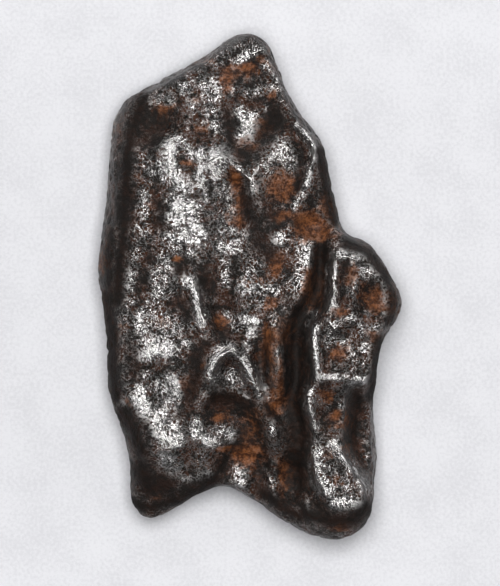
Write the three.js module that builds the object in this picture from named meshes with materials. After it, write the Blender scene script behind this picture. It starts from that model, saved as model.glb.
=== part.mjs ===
// An iron meteorite: one lump of nickel-iron, flat and long, with a skin pressed into thumbprint
// hollows that meet in ridges. It lies on its flatter face, with its length along Y.
//
// The skin is a geodesic sphere whose points are moved out to the lump's own shape. Points near the
// sphere's poles become the upper face and the underside, and those round its equator the edge.
import * as THREE from "three";
import { mergeVertices } from "three/addons/utils/BufferGeometryUtils.js";

// Driving dimensions, in millimetres.
const LENGTH = 75.6;
const WIDTH = 45.3;
const THICKNESS = 21.5;

// The geodesic sphere has 20 * (SKIN_DETAIL + 1) ** 2 triangles.
const SKIN_DETAIL = 23;

// How much of the sphere goes to each part of the skin, from the top down. The rest is the underside.
const UPPER_FACE_SHARE = 0.44;
const UPPER_EDGE_SHARE = 0.19;
const LOWER_EDGE_SHARE = 0.15;

// How far in from the widest line the underside begins, and the most that may be of the reach there.
const UNDER_INSET = 6.5;
const UNDER_INSET_MOST = 0.4;

// The hub is inside the lump, and every point of the widest line can be seen from it.
const HUB = new THREE.Vector2(0, -1.5);

// How gently two hollows meet: the height over which their ridge is rounded off.
const RIDGE_ROUNDING = 0.5;

// 1 gives hollows a hard rim, and more gives a softer one.
const RIM_SOFTNESS = 1.25;

// How far a spot height is felt.
const SPOT_REACH = 4.2;

// The widest line, anticlockwise from the upper tip: x, y, its height above the ground, and how
// wide the slope is between it and the upper face.
const WIDEST_LINE = [
  [-0.4, 37.9, 7.5, 1.8],
  [-2.7, 37.4, 7.5, 1.9],
  [-4.6, 35.9, 7, 2.1],
  [-7.0, 34.2, 6.5, 2.1],
  [-16.1, 29.4, 6, 2.2],
  [-18.4, 28.1, 6, 2.7],
  [-19.8, 25.9, 6, 3.3],
  [-20.6, 22.2, 6, 3.6],
  [-21.4, 12.9, 6.5, 3.8],
  [-22.2, 6.9, 7, 3.9],
  [-22.6, 1.6, 7, 4.2],
  [-21.9, -3.3, 7, 3.9],
  [-21.3, -8.1, 7, 3.3],
  [-21.1, -15.3, 6.5, 3.3],
  [-19.9, -19.5, 6, 3.6],
  [-18.4, -23.1, 7, 3.6],
  [-17.8, -26.8, 8, 3.3],
  [-17.8, -31.5, 8.5, 3.3],
  [-16.8, -33.9, 8.5, 3.6],
  [-14.8, -34.8, 8.5, 3.9],
  [-12.6, -33.9, 9, 3.6],
  [-9.8, -32.4, 9.5, 3],
  [-6.9, -30.6, 10, 2.1],
  [-5.0, -29.9, 10, 1.5],
  [-2.2, -30.2, 10, 1.5],
  [0.0, -31.6, 10, 2.1],
  [4.3, -34.5, 10.5, 2.7],
  [7.8, -36.6, 11, 3.6],
  [10.2, -37.5, 12, 4.2],
  [12.6, -37.8, 12.5, 4.5],
  [15.1, -37.0, 12.5, 4.2],
  [17.1, -35.5, 12.5, 3.0],
  [18.1, -33.3, 11, 2.1],
  [18.4, -30.3, 7.5, 2.4],
  [18.8, -25.3, 4, 3.3],
  [18.4, -20.1, 4.5, 3.3],
  [18.3, -16.8, 6, 2.7],
  [18.9, -12.9, 8.5, 1.3],
  [19.5, -8.8, 9, 1.2],
  [21.8, -4.8, 9, 1.8],
  [22.6, -2.7, 9, 1.9],
  [22.1, -0.6, 9, 1.8],
  [20.4, 2.4, 9.5, 1.8],
  [18.9, 4.8, 9.5, 1.9],
  [17.4, 6.5, 9.5, 2.1],
  [15.1, 7.6, 9, 2.1],
  [13.9, 8.5, 8.5, 1.8],
  [13.0, 11.1, 8, 2.1],
  [12.3, 14.4, 8, 2.1],
  [11.1, 20.4, 8, 1.5],
  [9.6, 23.1, 8, 1.5],
  [7.8, 25.1, 8, 1.3],
  [5.0, 30.1, 8, 1.2],
  [3.3, 35.4, 8, 1.3],
  [1.8, 37.2, 7.5, 1.5],
];

// Spot heights of the upper face, as on a map: x, y, height above the ground.
const UPPER_SPOTS = [
  [-0.4, 35.4, 12.5],
  [-9.0, 29.4, 13.5],
  [-16.5, 25.6, 12.5],
  [3.0, 31.6, 13.5],
  [-4.8, 25.6, 15.5],
  [5.2, 26.4, 14.5],
  [-18.3, 15.9, 14.5],
  [-12.8, 15.9, 16.4],
  [-7.5, 14.4, 17.0],
  [0.8, 17.7, 17.5],
  [9.8, 18.9, 16.0],
  [-18.3, 2.4, 15.5],
  [-12.8, 2.4, 17.2],
  [-7.5, 0.9, 18.3],
  [-1.5, 4.6, 17.5],
  [5.2, 6.9, 17],
  [12.0, 9.2, 16.5],
  [14.2, 3.6, 19],
  [20.7, -0.6, 17.5],
  [15.0, -5.1, 20.3],
  [18.3, -9.6, 19.5],
  [10.5, -9.6, 20.5],
  [12.0, -13.5, 21.4],
  [17.0, -13.2, 20.8],
  [1.8, -2.1, 18.2],
  [-18.3, -9.6, 16.5],
  [-12.8, -9.6, 18.8],
  [-6.8, -9.6, 19.2],
  [-0.8, -9.6, 18.5],
  [-18.3, -18.6, 16.2],
  [-12.8, -23.0, 19.0],
  [-6.8, -21.6, 17.8],
  [-0.8, -20.1, 17],
  [10.5, -18.6, 19.5],
  [15.8, -20.1, 18.0],
  [11.2, -24.6, 18.7],
  [14.2, -30.6, 20.6],
  [12.5, -33.2, 19.8],
  [16.5, -27.6, 19.2],
  [12.8, -36.4, 14],
  [6.0, -32.1, 13.4],
  [1.8, -29.1, 14],
  [-3.8, -28.3, 14.5],
  [-9.0, -28.3, 14.2],
  [-14.2, -29.6, 13.6],
  [-15.2, -33.0, 10.5],
];

// Spot heights of the underside. It touches the ground where they are below zero.
const UNDER_SPOTS = [
  [-2, 27, -0.5],
  [-14, -17, -0.4],
  [12.5, -23, -0.6],
  [-12, 24, 1.6],
  [8, 20, 2.0],
  [2, 12, 1.2],
  [-16, 5, 1.6],
  [-4, 0, 0.8],
  [14, 0, 2.2],
  [19, -2, 3.0],
  [16, -12, 1.6],
  [2, -14, 1.2],
  [-4, -26, 2.2],
  [-14, -31, 2.0],
  [10, -34, 2.0],
];

// Hollows pressed into the upper face: middle, half axes, turn in degrees, depth.
const UPPER_HOLLOWS = [
  { name: "crown", at: [-1.0, 24.2], size: [3.6, 6.9], turn: 8, depth: 2.9 },
  { name: "crown, right", at: [2.5, 25.5], size: [2.7, 6.0], turn: 14, depth: 2.2 },
  { name: "shoulder", at: [4.4, 15.4], size: [5.0, 4.6], turn: 0, depth: 1.9 },
  { name: "eye", at: [4.0, 10.3], size: [2.5, 1.5], turn: 0, depth: 1.2 },
  { name: "lens", at: [4.3, 7.2], size: [2.2, 1.5], turn: 0, depth: 1.3 },
  { name: "saddle", at: [9.9, 9.0], size: [4.4, 3.2], turn: 15, depth: 2.8 },
  { name: "lobe, inner", at: [13.8, 0.3], size: [2.2, 4.0], turn: 0, depth: 1.6 },
  { name: "lobe, outer", at: [17.4, -1.5], size: [2.7, 3.9], turn: -12, depth: 2.0 },
  { name: "block", at: [14.1, -8.8], size: [4.6, 4.4], turn: 0, depth: 1.0 },
  { name: "step", at: [11.7, -18.6], size: [3.4, 3.9], turn: 0, depth: 2.6 },
  { name: "foot table", at: [12.4, -27.4], size: [2.8, 5.4], turn: 24, depth: 0.8 },
  { name: "foot pit", at: [10.0, -32.7], size: [2.0, 2.4], turn: 0, depth: 1.8 },
  { name: "slab, high", at: [-13.5, 25.0], size: [5.4, 4.4], turn: 20, depth: 1.2 },
  { name: "slab, upper right", at: [-6.6, 24.0], size: [3.0, 4.2], turn: 0, depth: 0.8 },
  { name: "slab pit", at: [-9.2, 18.3], size: [1.8, 1.8], turn: 0, depth: 1.0 },
  { name: "slab pit, low", at: [-10.3, 3.9], size: [2.6, 2.6], turn: 0, depth: 1.2 },
  { name: "slab, left", at: [-16.5, 9.6], size: [2.4, 8.4], turn: 4, depth: 0.8 },
  { name: "slab, middle", at: [-13.2, -6.0], size: [5.8, 4.0], turn: 0, depth: 1.5 },
  { name: "slab, low", at: [-15.0, -13.0], size: [5.4, 4.4], turn: -8, depth: 1.5 },
  { name: "slab, foot", at: [-12.2, -19.6], size: [3.9, 4.8], turn: 10, depth: 1.6 },
  { name: "small pit", at: [-18.6, -17.1], size: [1.5, 1.5], turn: 0, depth: 0.8 },
  { name: "hook", at: [-3.1, -13.0], size: [2.8, 3.0], turn: 0, depth: 2.8 },
  { name: "below hook", at: [-4.2, -19.5], size: [5.4, 4.2], turn: 10, depth: 3.2 },
  { name: "centre", at: [1.8, -0.6], size: [3.3, 3.6], turn: 0, depth: 0.9 },
  { name: "channel head", at: [7.0, 3.6], size: [2.0, 4.8], turn: 5, depth: 1.0 },
];

// Valleys of the upper face, as points along the bottom: x, y, half the width, depth.
const UPPER_VALLEYS = [
  {
    name: "upper channel",
    path: [
      [-2.4, 17.4, 1.6, 1.2], [-1.6, 14.7, 2.6, 3], [-2.1, 11.1, 3.2, 2.6], [-3, 6.9, 3.6, 1.8],
      [-3.9, 3.3, 3.6, 1.9], [-4.6, -0.9, 3.6, 2.8], [-3.8, -4.8, 3.2, 3.2],
      [-2.2, -6.9, 2.2, 2.2],
    ],
  },
  {
    name: "lobe groove",
    path: [
      [10.5, 6.6, 1.6, 2], [10.5, 3.6, 1.9, 4.2], [10.3, -0.3, 2.2, 5], [9, -3.3, 2.4, 5],
      [7.5, -5.4, 2.3, 4.4],
    ],
  },
  {
    name: "long groove",
    path: [
      [7.5, -5.4, 2.3, 4.4], [6.8, -8.8, 2.4, 5.6], [7, -12.9, 2.5, 5.8], [6.1, -16.5, 2.4, 5.2],
      [7, -20.1, 2, 5.2], [7.5, -23.8, 1.8, 5], [7.5, -27.3, 1.9, 4.6], [8.1, -30.6, 1.6, 3.2],
    ],
  },
  {
    name: "finger side",
    path: [
      [2.1, -6.6, 1.2, 1.2], [1.6, -10.5, 1.9, 2.4], [2.2, -14.4, 1.8, 2.4], [4, -17.6, 1.8, 2.8],
    ],
  },
  {
    name: "valley, left",
    path: [
      [-3, -17.4, 2.8, 2], [-1.1, -20.7, 3.6, 3], [-2.1, -24.6, 4.2, 3.2], [-3.6, -28.8, 3.2, 2.6],
    ],
  },
  {
    name: "valley, middle",
    path: [
      [0.3, -20.1, 2, 2], [1.8, -24, 1.8, 3], [1.8, -27.6, 2, 3.2], [0.9, -30.9, 2.2, 2.6],
    ],
  },
  {
    name: "valley, right",
    path: [
      [4.6, -17.7, 2.6, 3.2], [6, -21.6, 2.2, 3.4], [5.7, -26.1, 2.6, 3.2], [6, -30.6, 2.8, 3],
    ],
  },
  {
    name: "flank",
    path: [
      [15.3, -15.3, 1.8, 3], [15.8, -18.6, 2.6, 6.5], [15.9, -23.1, 2.7, 7.5],
      [16.9, -27, 2.2, 6.5], [18.3, -30.3, 1.5, 3],
    ],
  },
  {
    name: "slab side",
    path: [
      [-13.5, 16.5, 1.6, 0.7], [-13.9, 11.1, 2, 1.1], [-15, 5.4, 1.8, 1], [-15.9, -0.6, 1.8, 0.9],
      [-15.6, -3.9, 1.4, 0.5],
    ],
  },
  {
    name: "slab foot",
    path: [
      [-8.7, -9.9, 1.4, 0.6], [-8.8, -15.9, 1.8, 1.3], [-9, -20.7, 1.6, 1.2],
      [-8.1, -24.6, 2.2, 1],
    ],
  },
  { name: "shoulder side", path: [[6.3, 23.7, 1.4, 0.8], [7.9, 19.2, 1.5, 1.4], [7.3, 15, 1.4, 1]] },
  { name: "crown foot", path: [[-3, 20.4, 1.6, 1.2], [-0.6, 19.2, 1.8, 1.6], [1.8, 19.5, 1.6, 1.2]] },
];

// Ridges of the upper face, as points along the crest: x, y, half the width, height.
const UPPER_RIDGES = [
  {
    name: "fork",
    path: [
      [-6.6, 20.1, 2.2, 0.5], [-4.2, 18.9, 1.8, 0.8], [-1.5, 17.1, 1.4, 1], [0.1, 15.6, 1.4, 1.2],
      [0.4, 12, 1.6, 0.8], [0.8, 8.1, 1.8, 0.5],
    ],
  },
  { name: "fork, right", path: [[0.1, 15.6, 1.4, 0.8], [1.8, 17.7, 1.8, 0.7], [4.2, 20.4, 1.8, 0.6]] },
  {
    name: "shoulder rim",
    path: [
      [5.7, 26.1, 1.4, 0.5], [8.1, 23.1, 1.3, 1.1], [9.8, 20.4, 1.3, 1.3], [9, 16.2, 1.3, 1.1],
      [6.9, 12, 1.3, 0.6],
    ],
  },
  {
    name: "slab edge",
    path: [
      [-10.5, 1.8, 1.8, 0.5], [-7.9, -1.2, 1.6, 1.1], [-7.5, -4.2, 1.5, 1], [-5.8, -7.2, 1.4, 0.6],
    ],
  },
  {
    name: "hook",
    path: [
      [-5.8, -15.9, 1.3, 0.4], [-5.8, -12.6, 1.3, 1.2], [-4.8, -10.3, 1.3, 1.4],
      [-2.1, -9.3, 1.3, 1], [-0.6, -11.7, 1.3, 1], [0.9, -14.4, 1.3, 1], [2.5, -17.1, 1.2, 0.7],
    ],
  },
  {
    name: "lobe edge",
    path: [
      [12.6, 5.1, 1.4, 0.6], [11.8, 2.1, 1.2, 0.9], [12.2, -0.9, 1.2, 1], [12.2, -3.6, 1.4, 1],
    ],
  },
  { name: "lobe crown", path: [[11.7, 4.8, 1.4, 0.5], [14.1, 5.1, 1.4, 0.7], [16.8, 4.5, 1.4, 0.5]] },
  { name: "lobe divide", path: [[15.3, 3, 1.4, 0.3], [15.4, -0.6, 1.3, 0.7], [15, -3.9, 1.5, 0.8]] },
  {
    name: "block head",
    path: [
      [9.9, -4.2, 1.3, 0.7], [12.9, -5.4, 1.6, 0.7], [15.3, -4.8, 1.5, 0.8],
      [18.3, -7.5, 1.5, 0.5],
    ],
  },
  {
    name: "block edge",
    path: [
      [9.3, -5.1, 1.3, 0.7], [9, -7.5, 1.2, 1], [9.6, -10.5, 1.2, 1], [10.2, -13.8, 1.3, 0.9],
    ],
  },
  {
    name: "block foot",
    path: [
      [10.2, -13.8, 1.3, 0.8], [13.8, -13.7, 1.3, 0.7], [16.2, -14.5, 1.3, 0.8],
      [18.1, -13.2, 1.3, 0.7],
    ],
  },
  {
    name: "step rim",
    path: [
      [9.3, -15, 1.2, 0.8], [8.2, -16.8, 1.2, 1.1], [8.7, -18.9, 1.2, 1], [9.9, -21.6, 1.3, 0.6],
    ],
  },
  {
    name: "foot edge",
    path: [
      [12.3, -22.8, 1.4, 0.7], [14.4, -26.4, 1.3, 1], [16.5, -28.8, 1.3, 1],
      [17.4, -31.5, 1.4, 0.6],
    ],
  },
  { name: "foot, left", path: [[9, -23.7, 1.3, 0.4], [9.6, -27.3, 1.4, 0.7], [12, -32.1, 1.5, 0.5]] },
  { name: "pit rim", path: [[8.2, -31.2, 1.2, 0.5], [8.5, -33.3, 1.2, 0.8], [9.8, -34.6, 1.2, 0.5]] },
  {
    name: "valley divide",
    path: [
      [1.8, -18, 1.3, 0.5], [3.3, -21, 1.6, 1.2], [3.8, -24.9, 1.8, 1.4], [3.3, -29.1, 1.6, 1],
      [4.2, -32.1, 1.4, 0.6],
    ],
  },
  {
    name: "finger",
    path: [
      [3.6, -5.4, 1.4, 1], [3.8, -8.8, 1.8, 2.2], [4, -12.3, 1.9, 2.4], [3.8, -15.9, 1.6, 1.6],
    ],
  },
];

// Hollows of the underside, in the same form.
const UNDER_HOLLOWS = [
  { name: "upper left", at: [-10.5, 21.5], size: [4.6, 4.0], turn: 20, depth: 2.4 },
  { name: "upper right", at: [4.6, 21.0], size: [3.4, 4.4], turn: -15, depth: 2.2 },
  { name: "left", at: [-14.0, 11.5], size: [4.0, 4.8], turn: -10, depth: 2.6 },
  { name: "middle, upper", at: [-4.2, 12.8], size: [4.6, 4.0], turn: 30, depth: 2.0 },
  { name: "middle, right", at: [5.4, 8.6], size: [4.2, 5.0], turn: 10, depth: 2.8 },
  { name: "left, low", at: [-14.6, -1.2], size: [4.4, 5.6], turn: 12, depth: 2.4 },
  { name: "middle", at: [-4.0, 1.8], size: [4.4, 5.4], turn: -20, depth: 2.2 },
  { name: "right", at: [14.2, -2.4], size: [4.8, 3.8], turn: -25, depth: 2.4 },
  { name: "belly", at: [4.6, -4.2], size: [4.2, 5.0], turn: 0, depth: 3.0 },
  { name: "belly, left", at: [-5.6, -9.6], size: [4.4, 4.2], turn: 40, depth: 2.4 },
  { name: "belly, low", at: [4.4, -15.4], size: [4.6, 4.6], turn: 15, depth: 2.8 },
  { name: "foot, left", at: [-10.4, -26.8], size: [4.0, 3.4], turn: 25, depth: 2.2 },
  { name: "notch", at: [-1.6, -23.0], size: [4.2, 3.8], turn: -10, depth: 2.4 },
  { name: "foot, right", at: [8.6, -31.4], size: [4.6, 3.2], turn: -25, depth: 2.0 },
];

// Hollows of the edge: the direction they are seen in from the hub, in degrees from X, their
// height above the ground, half their length and half their height, and depth.
const EDGE_HOLLOWS = [
  { azimuth: 112, height: 9.5, size: [5.0, 3.0], depth: 0.7 },
  { azimuth: 128, height: 4.0, size: [5.0, 3.0], depth: 1.6 },
  { azimuth: 152, height: 3.8, size: [6.0, 3.2], depth: 1.8 },
  { azimuth: 150, height: 11.5, size: [5.0, 2.6], depth: 0.5 },
  { azimuth: 172, height: 11.5, size: [4.6, 3.0], depth: 0.6 },
  { azimuth: 184, height: 3.6, size: [6.0, 3.0], depth: 1.6 },
  { azimuth: 205, height: 10.5, size: [5.0, 3.0], depth: 0.6 },
  { azimuth: 222, height: 3.4, size: [4.6, 2.6], depth: 1.4 },
  { azimuth: 262, height: 4.0, size: [5.0, 3.0], depth: 1.2 },
  { azimuth: 285, height: 3.0, size: [4.0, 2.4], depth: 1.2 },
  { azimuth: 330, height: 3.4, size: [4.6, 2.6], depth: 1.0 },
  { azimuth: 348, height: 4.6, size: [4.6, 3.2], depth: 1.8 },
  { azimuth: 12, height: 4.8, size: [5.0, 3.4], depth: 2.0 },
  { azimuth: 38, height: 4.0, size: [4.6, 3.2], depth: 1.6 },
  { azimuth: 58, height: 4.6, size: [5.4, 3.2], depth: 1.8 },
  { azimuth: 78, height: 4.4, size: [5.4, 3.0], depth: 1.6 },
];

const IRON = { color: 0x2b221e, metalness: 0.85, roughness: 0.38 };

// The larger of two values, with the corner between them rounded off.
function softMax(a, b, rounding) {
  const overlap = Math.max(rounding - Math.abs(a - b), 0) / rounding;
  return Math.max(a, b) + (overlap * overlap * rounding) / 4;
}

// How much of a hollow's or ridge's height is left at a distance from its middle, where 1 is its rim.
function falloff(outSquared) {
  return Math.max(1 - outSquared, 0) ** RIM_SOFTNESS;
}

// How deep a set of hollows presses at a point. Where they cross, the deeper one counts.
function pressed(x, y, hollows) {
  let deepest = 0;
  for (const { at, size, turn, depth } of hollows) {
    const angle = THREE.MathUtils.degToRad(turn);
    const [dx, dy] = [x - at[0], y - at[1]];
    const along = dx * Math.cos(angle) + dy * Math.sin(angle);
    const across = dy * Math.cos(angle) - dx * Math.sin(angle);
    const out = (along / size[0]) ** 2 + (across / size[1]) ** 2;
    deepest = softMax(deepest, depth * falloff(out), RIDGE_ROUNDING);
  }
  return deepest;
}

// How high a set of ridges stands at a point, or how deep a set of valleys is. Width and height
// change evenly from each point of a path to the next. Where paths cross, the higher one counts.
function raised(x, y, ridges) {
  let highest = 0;
  for (const { path } of ridges) {
    for (let i = 1; i < path.length; i++) {
      const [start, end] = [path[i - 1], path[i]];
      const [runX, runY] = [end[0] - start[0], end[1] - start[1]];
      const along = ((x - start[0]) * runX + (y - start[1]) * runY) / (runX ** 2 + runY ** 2);
      const share = THREE.MathUtils.clamp(along, 0, 1);
      const [nearX, nearY, width, height] = start.map((value, k) => value + share * (end[k] - value));
      const out = ((x - nearX) ** 2 + (y - nearY) ** 2) / width ** 2;
      highest = Math.max(highest, height * falloff(out));
    }
  }
  return highest;
}

// The height between spot heights: their average, each weighed by how near it is.
function heightBetween(x, y, spots) {
  let sum = 0;
  let weights = 0;
  for (const [spotX, spotY, height] of spots) {
    const far = ((x - spotX) ** 2 + (y - spotY) ** 2) / SPOT_REACH ** 2;
    const weight = Math.exp(-far) + 1e-4 / (1 + far);
    sum += weight * height;
    weights += weight;
  }
  return sum / weights;
}

function upperHeight(x, y) {
  const body = heightBetween(x, y, UPPER_SPOTS);
  const hollow = pressed(x, y, UPPER_HOLLOWS);
  const carved = softMax(hollow, raised(x, y, UPPER_VALLEYS), RIDGE_ROUNDING);
  return body - carved + raised(x, y, UPPER_RIDGES);
}

function underHeight(x, y) {
  return heightBetween(x, y, UNDER_SPOTS) + pressed(x, y, UNDER_HOLLOWS);
}

// The widest line as a smooth closed curve, listed by the direction each point is seen in from the hub.
function surveyWidestLine() {
  const line = new THREE.CatmullRomCurve3(
    WIDEST_LINE.map(([x, y, height]) => new THREE.Vector3(x, y, height)),
    true,
    "centripetal",
  );
  const stations = 24 * WIDEST_LINE.length;
  const survey = [];
  for (let i = 0; i < stations; i++) {
    const point = line.getPoint(i / stations);
    const at = (i / stations) * WIDEST_LINE.length;
    const before = WIDEST_LINE[Math.floor(at)];
    const after = WIDEST_LINE[(Math.floor(at) + 1) % WIDEST_LINE.length];
    const slope = THREE.MathUtils.lerp(before[3], after[3], at % 1);
    const spoke = new THREE.Vector2(point.x - HUB.x, point.y - HUB.y);
    const tangent = line.getTangent(i / stations);
    const slant = Math.abs(spoke.x * tangent.y - spoke.y * tangent.x) / spoke.length();
    survey.push({
      azimuth: spoke.angle(),
      reach: spoke.length(),
      height: point.z,
      inset: slope / Math.max(slant, 0.5),
    });
  }
  return survey.sort((a, b) => a.azimuth - b.azimuth);
}

const survey = surveyWidestLine();

// The widest line's reach, height and slope in one direction from the hub.
function rimToward(azimuth) {
  const turn = 2 * Math.PI;
  const wanted = ((azimuth % turn) + turn) % turn;
  const found = survey.findIndex((station) => station.azimuth >= wanted);
  const after = survey[found < 0 ? 0 : found];
  const before = survey[found <= 0 ? survey.length - 1 : found - 1];
  const gap = (after.azimuth - before.azimuth + turn) % turn || turn;
  const share = ((wanted - before.azimuth + turn) % turn) / gap;
  const between = (key) => THREE.MathUtils.lerp(before[key], after[key], share);
  return { reach: between("reach"), height: between("height"), inset: between("inset") };
}

// How far the hollows of the edge press in at a point.
function edgePressed(x, y, z) {
  let deepest = 0;
  for (const { azimuth, height, size, depth } of EDGE_HOLLOWS) {
    const angle = THREE.MathUtils.degToRad(azimuth);
    const { reach } = rimToward(angle);
    const far = Math.hypot(
      x - HUB.x - reach * Math.cos(angle),
      y - HUB.y - reach * Math.sin(angle),
    );
    const out = (far / size[0]) ** 2 + ((z - height) / size[1]) ** 2;
    deepest = softMax(deepest, depth * falloff(out), RIDGE_ROUNDING / 2);
  }
  return deepest;
}

// Where a point of the unit sphere lies on the lump.
function skinPoint(direction) {
  const azimuth = Math.atan2(direction.y, direction.x);
  const rim = rimToward(azimuth);
  const underInset = Math.min(UNDER_INSET, UNDER_INSET_MOST * rim.reach);
  const underShare = 1 - UPPER_FACE_SHARE - UPPER_EDGE_SHARE - LOWER_EDGE_SHARE;
  const fromTop = (1 - direction.z) / 2;
  const fromBottom = 1 - fromTop;
  const above = fromTop < UPPER_FACE_SHARE + UPPER_EDGE_SHARE;

  const inset = above ? rim.inset : underInset;
  const face = above ? UPPER_FACE_SHARE : underShare;
  const edge = above ? UPPER_EDGE_SHARE : LOWER_EDGE_SHARE;
  const share = above ? fromTop : fromBottom;
  const onFace = Math.min(share / face, 1);
  const roundEdge = (Math.max(share - face, 0) / edge) * (Math.PI / 2);

  const reach = Math.sqrt(onFace) * (rim.reach - inset) + inset * Math.sin(roundEdge);
  const x = HUB.x + reach * Math.cos(azimuth);
  const y = HUB.y + reach * Math.sin(azimuth);
  const faceHeight = above ? upperHeight(x, y) : underHeight(x, y);
  const z = THREE.MathUtils.lerp(rim.height, faceHeight, Math.cos(roundEdge));

  const pressedIn = roundEdge > 0 ? edgePressed(x, y, z) / reach : 0;
  return new THREE.Vector3(
    x - (x - HUB.x) * pressedIn,
    y - (y - HUB.y) * pressedIn,
    Math.max(z, 0),
  );
}

function lumpGeometry() {
  const sphere = new THREE.IcosahedronGeometry(1, SKIN_DETAIL);
  sphere.deleteAttribute("normal");
  sphere.deleteAttribute("uv");
  const skin = mergeVertices(sphere);
  const points = skin.getAttribute("position");
  const direction = new THREE.Vector3();
  for (let i = 0; i < points.count; i++) {
    const point = skinPoint(direction.fromBufferAttribute(points, i));
    points.setXYZ(i, point.x, point.y, point.z);
  }

  // Brings the lump to its driving dimensions, with the middle of its base at the origin.
  skin.computeBoundingBox();
  const size = skin.boundingBox.getSize(new THREE.Vector3());
  const middle = skin.boundingBox.getCenter(new THREE.Vector3());
  skin.translate(-middle.x, -middle.y, -skin.boundingBox.min.z);
  skin.scale(WIDTH / size.x, LENGTH / size.y, THICKNESS / size.z);
  skin.computeVertexNormals();
  return skin;
}

const meteorite = new THREE.Mesh(lumpGeometry(), new THREE.MeshStandardMaterial(IRON));
meteorite.name = "meteorite";

const model = new THREE.Group();
model.add(meteorite);
export default model;
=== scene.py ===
import bpy
import numpy as np
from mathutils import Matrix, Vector, noise


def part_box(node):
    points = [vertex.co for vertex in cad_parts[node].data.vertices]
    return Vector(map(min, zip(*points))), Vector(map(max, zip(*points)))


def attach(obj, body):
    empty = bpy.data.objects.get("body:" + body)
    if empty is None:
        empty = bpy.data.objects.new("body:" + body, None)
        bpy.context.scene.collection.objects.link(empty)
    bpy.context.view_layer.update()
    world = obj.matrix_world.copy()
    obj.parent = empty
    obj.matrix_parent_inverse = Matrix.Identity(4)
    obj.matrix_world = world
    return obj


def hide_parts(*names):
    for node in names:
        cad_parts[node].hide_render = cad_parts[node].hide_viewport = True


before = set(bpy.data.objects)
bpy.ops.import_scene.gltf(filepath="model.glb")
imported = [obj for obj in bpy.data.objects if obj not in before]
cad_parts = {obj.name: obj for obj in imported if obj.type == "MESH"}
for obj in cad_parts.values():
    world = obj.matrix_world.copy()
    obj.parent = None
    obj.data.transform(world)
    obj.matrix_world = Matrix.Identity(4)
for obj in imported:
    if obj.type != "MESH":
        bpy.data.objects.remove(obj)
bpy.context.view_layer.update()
low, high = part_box("meteorite")
middle = (low + high) / 2
mm = 0.001
print("frame loaded")


# Camera: straight above through a long lens, as a stone is laid out for a catalogue. Places and sizes
# here and on the lights are in metres.
camera = {"lens": 491, "height": 1.2, "shiftDown": 0.00105}

cameraData = bpy.data.cameras.new("camera")
cameraData.lens = camera["lens"]
cameraObject = bpy.data.objects.new("camera", cameraData)
cameraObject.location = (middle.x, middle.y - camera["shiftDown"], camera["height"])
bpy.context.scene.collection.objects.link(cameraObject)
bpy.context.scene.camera = cameraObject
print("camera ready")


# Lights: a bright box that only shiny places mirror, and wide ones that open the shadows
lights = {
    "sheenBox": {"place": (0.03, 0.18, 0.46), "size": (0.40, 0.32), "watts": 6.5, "mirrored": True},
    "openBox": {"place": (0.0, 0.03, 0.60), "size": (0.22, 0.22), "watts": 4.2, "mirrored": False},
    "rightBox": {"place": (0.55, 0.02, 0.20), "size": (0.50, 0.36), "watts": 0.9, "mirrored": False},
    "leftBox": {"place": (-0.55, 0.02, 0.20), "size": (0.50, 0.36), "watts": 0.7, "mirrored": False},
}
room = {"colour": (0.93, 0.95, 1.0), "overhead": 0.02, "horizon": 0.12, "glowTop": 0.75}


def hangLight(name, place, size, watts, mirrored):
    data = bpy.data.lights.new(name, "AREA")
    data.shape = "RECTANGLE"
    data.size, data.size_y = size
    data.energy = watts
    light = bpy.data.objects.new(name, data)
    light.location = place
    light.visible_camera = False
    light.visible_glossy = mirrored
    light.visible_diffuse = not mirrored
    aim = Vector((0, 0, middle.z)) - Vector(place)
    light.rotation_euler = aim.to_track_quat("-Z", "Y").to_euler()
    bpy.context.scene.collection.objects.link(light)


for name, settings in lights.items():
    hangLight(name, **settings)


# A wrapped socket, so that shader maths reads as sums
class Wire:
    def __init__(self, tree, socket):
        self.tree = tree
        self.socket = socket

    def maths(self, operation, first, second):
        return self.tree.add("ShaderNodeMath", {"operation": operation}, {0: first, 1: second})

    def __add__(self, other):
        return self.maths("ADD", self, other)

    def __radd__(self, other):
        return self.maths("ADD", other, self)

    def __sub__(self, other):
        return self.maths("SUBTRACT", self, other)

    def __rsub__(self, other):
        return self.maths("SUBTRACT", other, self)

    def __mul__(self, other):
        return self.maths("MULTIPLY", self, other)

    def __rmul__(self, other):
        return self.maths("MULTIPLY", other, self)

    def __abs__(self):
        return self.tree.add("ShaderNodeMath", {"operation": "ABSOLUTE"}, {0: self})


class ShaderTree:
    def __init__(self, owner):
        owner.use_nodes = True
        self.nodes = owner.node_tree.nodes
        self.links = owner.node_tree.links
        self.nodes.clear()

    def plug(self, socket, value):
        if isinstance(value, Wire):
            self.links.new(value.socket, socket)
        else:
            socket.default_value = value

    # Adds a node: its settings first, then the values or links of its sockets
    def add(self, kind, settings={}, inputs={}, output=0):
        node = self.nodes.new(kind)
        for name, value in settings.items():
            setattr(node, name, value)
        for name, value in inputs.items():
            self.plug(node.inputs[name], value)
        return Wire(self, node.outputs[output]) if len(node.outputs) else node

    def noise(self, place, size, detail, roughness):
        inputs = {"Vector": place, "Scale": 1 / size, "Detail": detail, "Roughness": roughness}
        return self.add("ShaderNodeTexNoise", {}, inputs)

    # Moves from 0 to 1 as the value goes from one level to the other
    def ease(self, value, start, end):
        inputs = {"Value": value, "From Min": start, "From Max": end}
        return self.add("ShaderNodeMapRange", {"interpolation_type": "SMOOTHSTEP"}, inputs)

    def blend(self, factor, first, second):
        inputs = {"Factor": factor, "A": first, "B": second}
        return self.add("ShaderNodeMix", {"data_type": "RGBA"}, inputs, output="Result")

    def attribute(self, name):
        return self.add("ShaderNodeAttribute", {"attribute_name": name}, {}, output="Fac")


def rgb(red, green, blue):
    return (red, green, blue, 1)


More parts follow.
